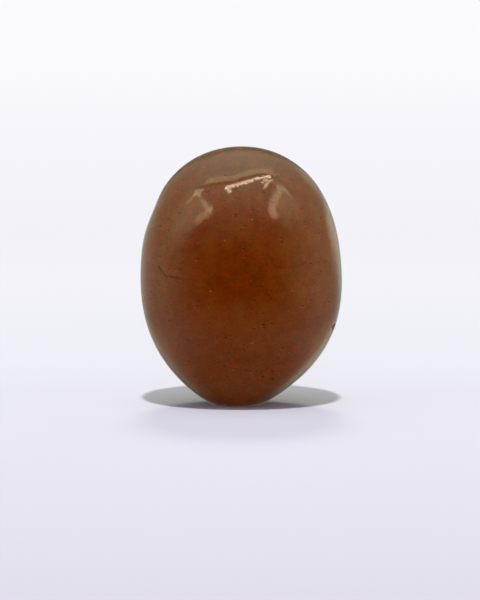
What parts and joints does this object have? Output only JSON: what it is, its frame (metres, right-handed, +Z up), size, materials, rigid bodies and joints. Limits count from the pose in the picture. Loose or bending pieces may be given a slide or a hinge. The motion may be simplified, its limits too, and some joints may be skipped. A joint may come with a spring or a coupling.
{
  "type": "tumbled sunstone",
  "caption": "Polished egg-shaped tumbled sunstone, orange-brown with fine dark flecks, standing on its narrow end on a small flat.",
  "frame": {"origin": "middle of the small flat that the stone stands on", "axes": "+Z up along the stone's long axis, from the flat to the crown; +Y away from the stone's front, through its thickness; +X to the right in front view"},
  "size_m": [0.0232, 0.0193, 0.0298],
  "materials": {
    "sunstone": "polished, cloudy orange-brown feldspar"
  },
  "bodies": {
    "root": {"sunstone": "sunstone"}
  },
  "joints": []
}
